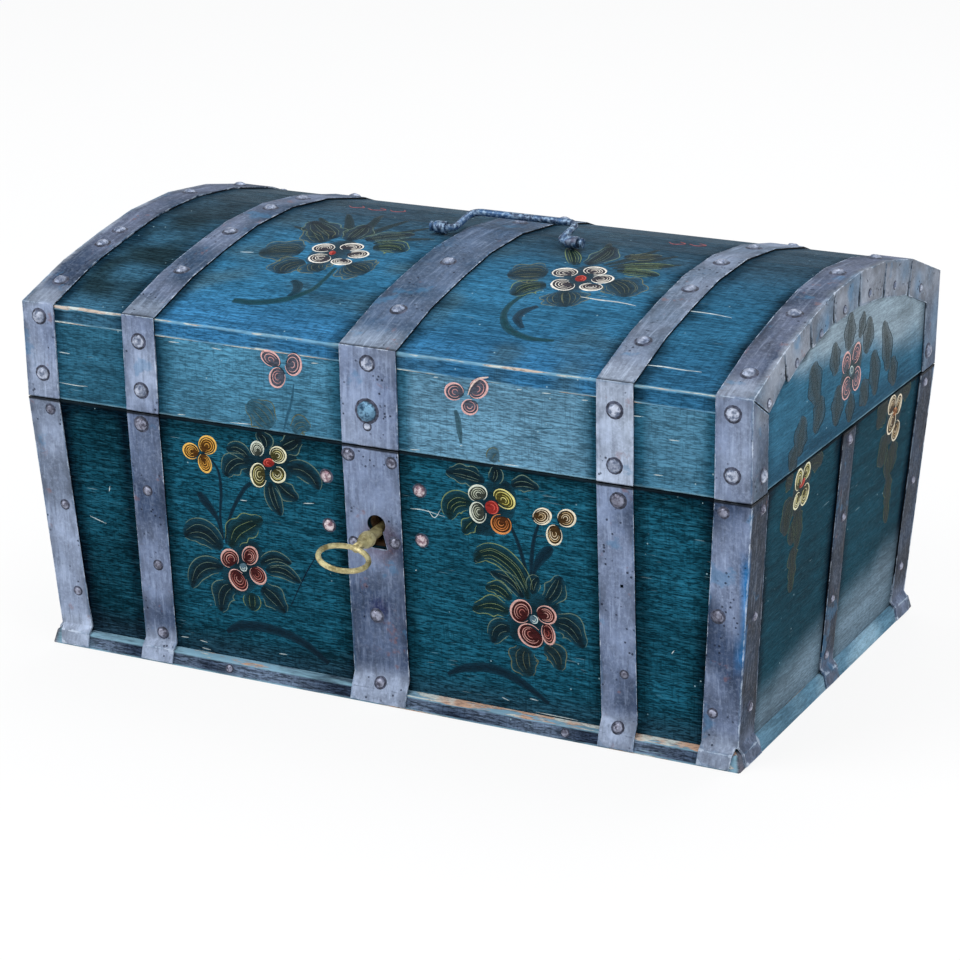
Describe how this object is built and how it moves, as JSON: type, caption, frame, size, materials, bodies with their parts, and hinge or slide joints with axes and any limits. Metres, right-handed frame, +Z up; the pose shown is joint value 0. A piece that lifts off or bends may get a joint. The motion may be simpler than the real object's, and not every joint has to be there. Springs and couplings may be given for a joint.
{
  "type": "dome top box",
  "caption": "Dome-topped wooden storage box with leaning sides, iron straps, a hinged lid, a key lock and a drop handle.",
  "frame": {"origin": "centre of the face that the box rests on", "axes": "+X along the length to the right, -Y out of the front with the keyhole, +Z up"},
  "size_m": [0.5282, 0.4162, 0.2946],
  "materials": {
    "painted_wood": "brushed teal blue paint, worn to bare wood at the edges",
    "bare_wood": "bare softwood",
    "strap_iron": "forged strap with grey blue paint, pitted",
    "nail_iron": "hammered nail heads, painted over and rusted",
    "handle_iron": "dark blue painted wrought iron",
    "dark_iron": "bare dark iron",
    "brass": "worn bright"
  },
  "bodies": {
    "box_body": {"back_board": "painted_wood", "back_strap_centre": "strap_iron", "body_nails": "nail_iron", "bolt_spring": "dark_iron", "bottom_board": "bare_wood", "corner_strap_back_left": "strap_iron", "corner_strap_back_right": "strap_iron", "corner_strap_front_left": "strap_iron", "corner_strap_front_right": "strap_iron", "end_strap_left": "strap_iron", "end_strap_right": "strap_iron", "front_board": "painted_wood", "front_strap_left": "strap_iron", "front_strap_right": "strap_iron", "hinge_pins": "dark_iron", "hinge_strap_left": "strap_iron", "hinge_strap_right": "strap_iron", "left_end_board": "painted_wood", "lock_cap": "dark_iron", "lock_plate": "dark_iron", "lock_rivets": "nail_iron", "lock_strap": "strap_iron", "plinth_back": "painted_wood", "plinth_front": "painted_wood", "plinth_left": "painted_wood", "plinth_nails": "nail_iron", "plinth_right": "painted_wood", "right_end_board": "painted_wood"},
    "lid": {"handle_eyes": "handle_iron", "lid_back_rail": "painted_wood", "lid_boss": "nail_iron", "lid_corner_strap_left": "strap_iron", "lid_corner_strap_right": "strap_iron", "lid_front_rail": "painted_wood", "lid_left_gable": "painted_wood", "lid_nails": "nail_iron", "lid_right_gable": "painted_wood", "lid_staple": "dark_iron", "lid_stave_1": "painted_wood", "lid_stave_2": "painted_wood", "lid_stave_3": "painted_wood", "lid_stave_4": "painted_wood", "lid_stave_5": "painted_wood", "lid_stave_6": "painted_wood", "lid_stave_7": "painted_wood", "lid_strap_centre": "strap_iron", "lid_strap_left": "strap_iron", "lid_strap_right": "strap_iron", "tab_nails": "nail_iron"},
    "key": {"key": "brass"},
    "bolt": {"lock_bolt": "dark_iron"},
    "handle": {"handle_bail": "handle_iron"}
  },
  "joints": [
    {"name": "lid_hinge", "type": "hinge", "parent": "box_body", "child": "lid", "pos_m": [0, 0.1786, 0.1803], "axis": [-1, 0, 0], "range_deg": [0, 105]},
    {"name": "key_turn", "type": "hinge", "parent": "box_body", "child": "key", "pos_m": [0.002, -0.1691, 0.122], "axis": [0, -0.9965, -0.0841], "range_deg": [-78, 192]},
    {"name": "bolt_slide", "type": "slide", "parent": "box_body", "child": "bolt", "axis": [-1, 0, 0], "range_m": [-0.0035, 0.0086]},
    {"name": "handle_swing", "type": "hinge", "parent": "lid", "child": "handle", "pos_m": [0.017, -0.011, 0.28645], "axis": [1, 0, 0], "range_deg": [-9, 165]}
  ],
  "couplings": [
    {"joint": "bolt_slide", "follows": "key_turn", "m_per_rad": 0.002546}
  ]
}
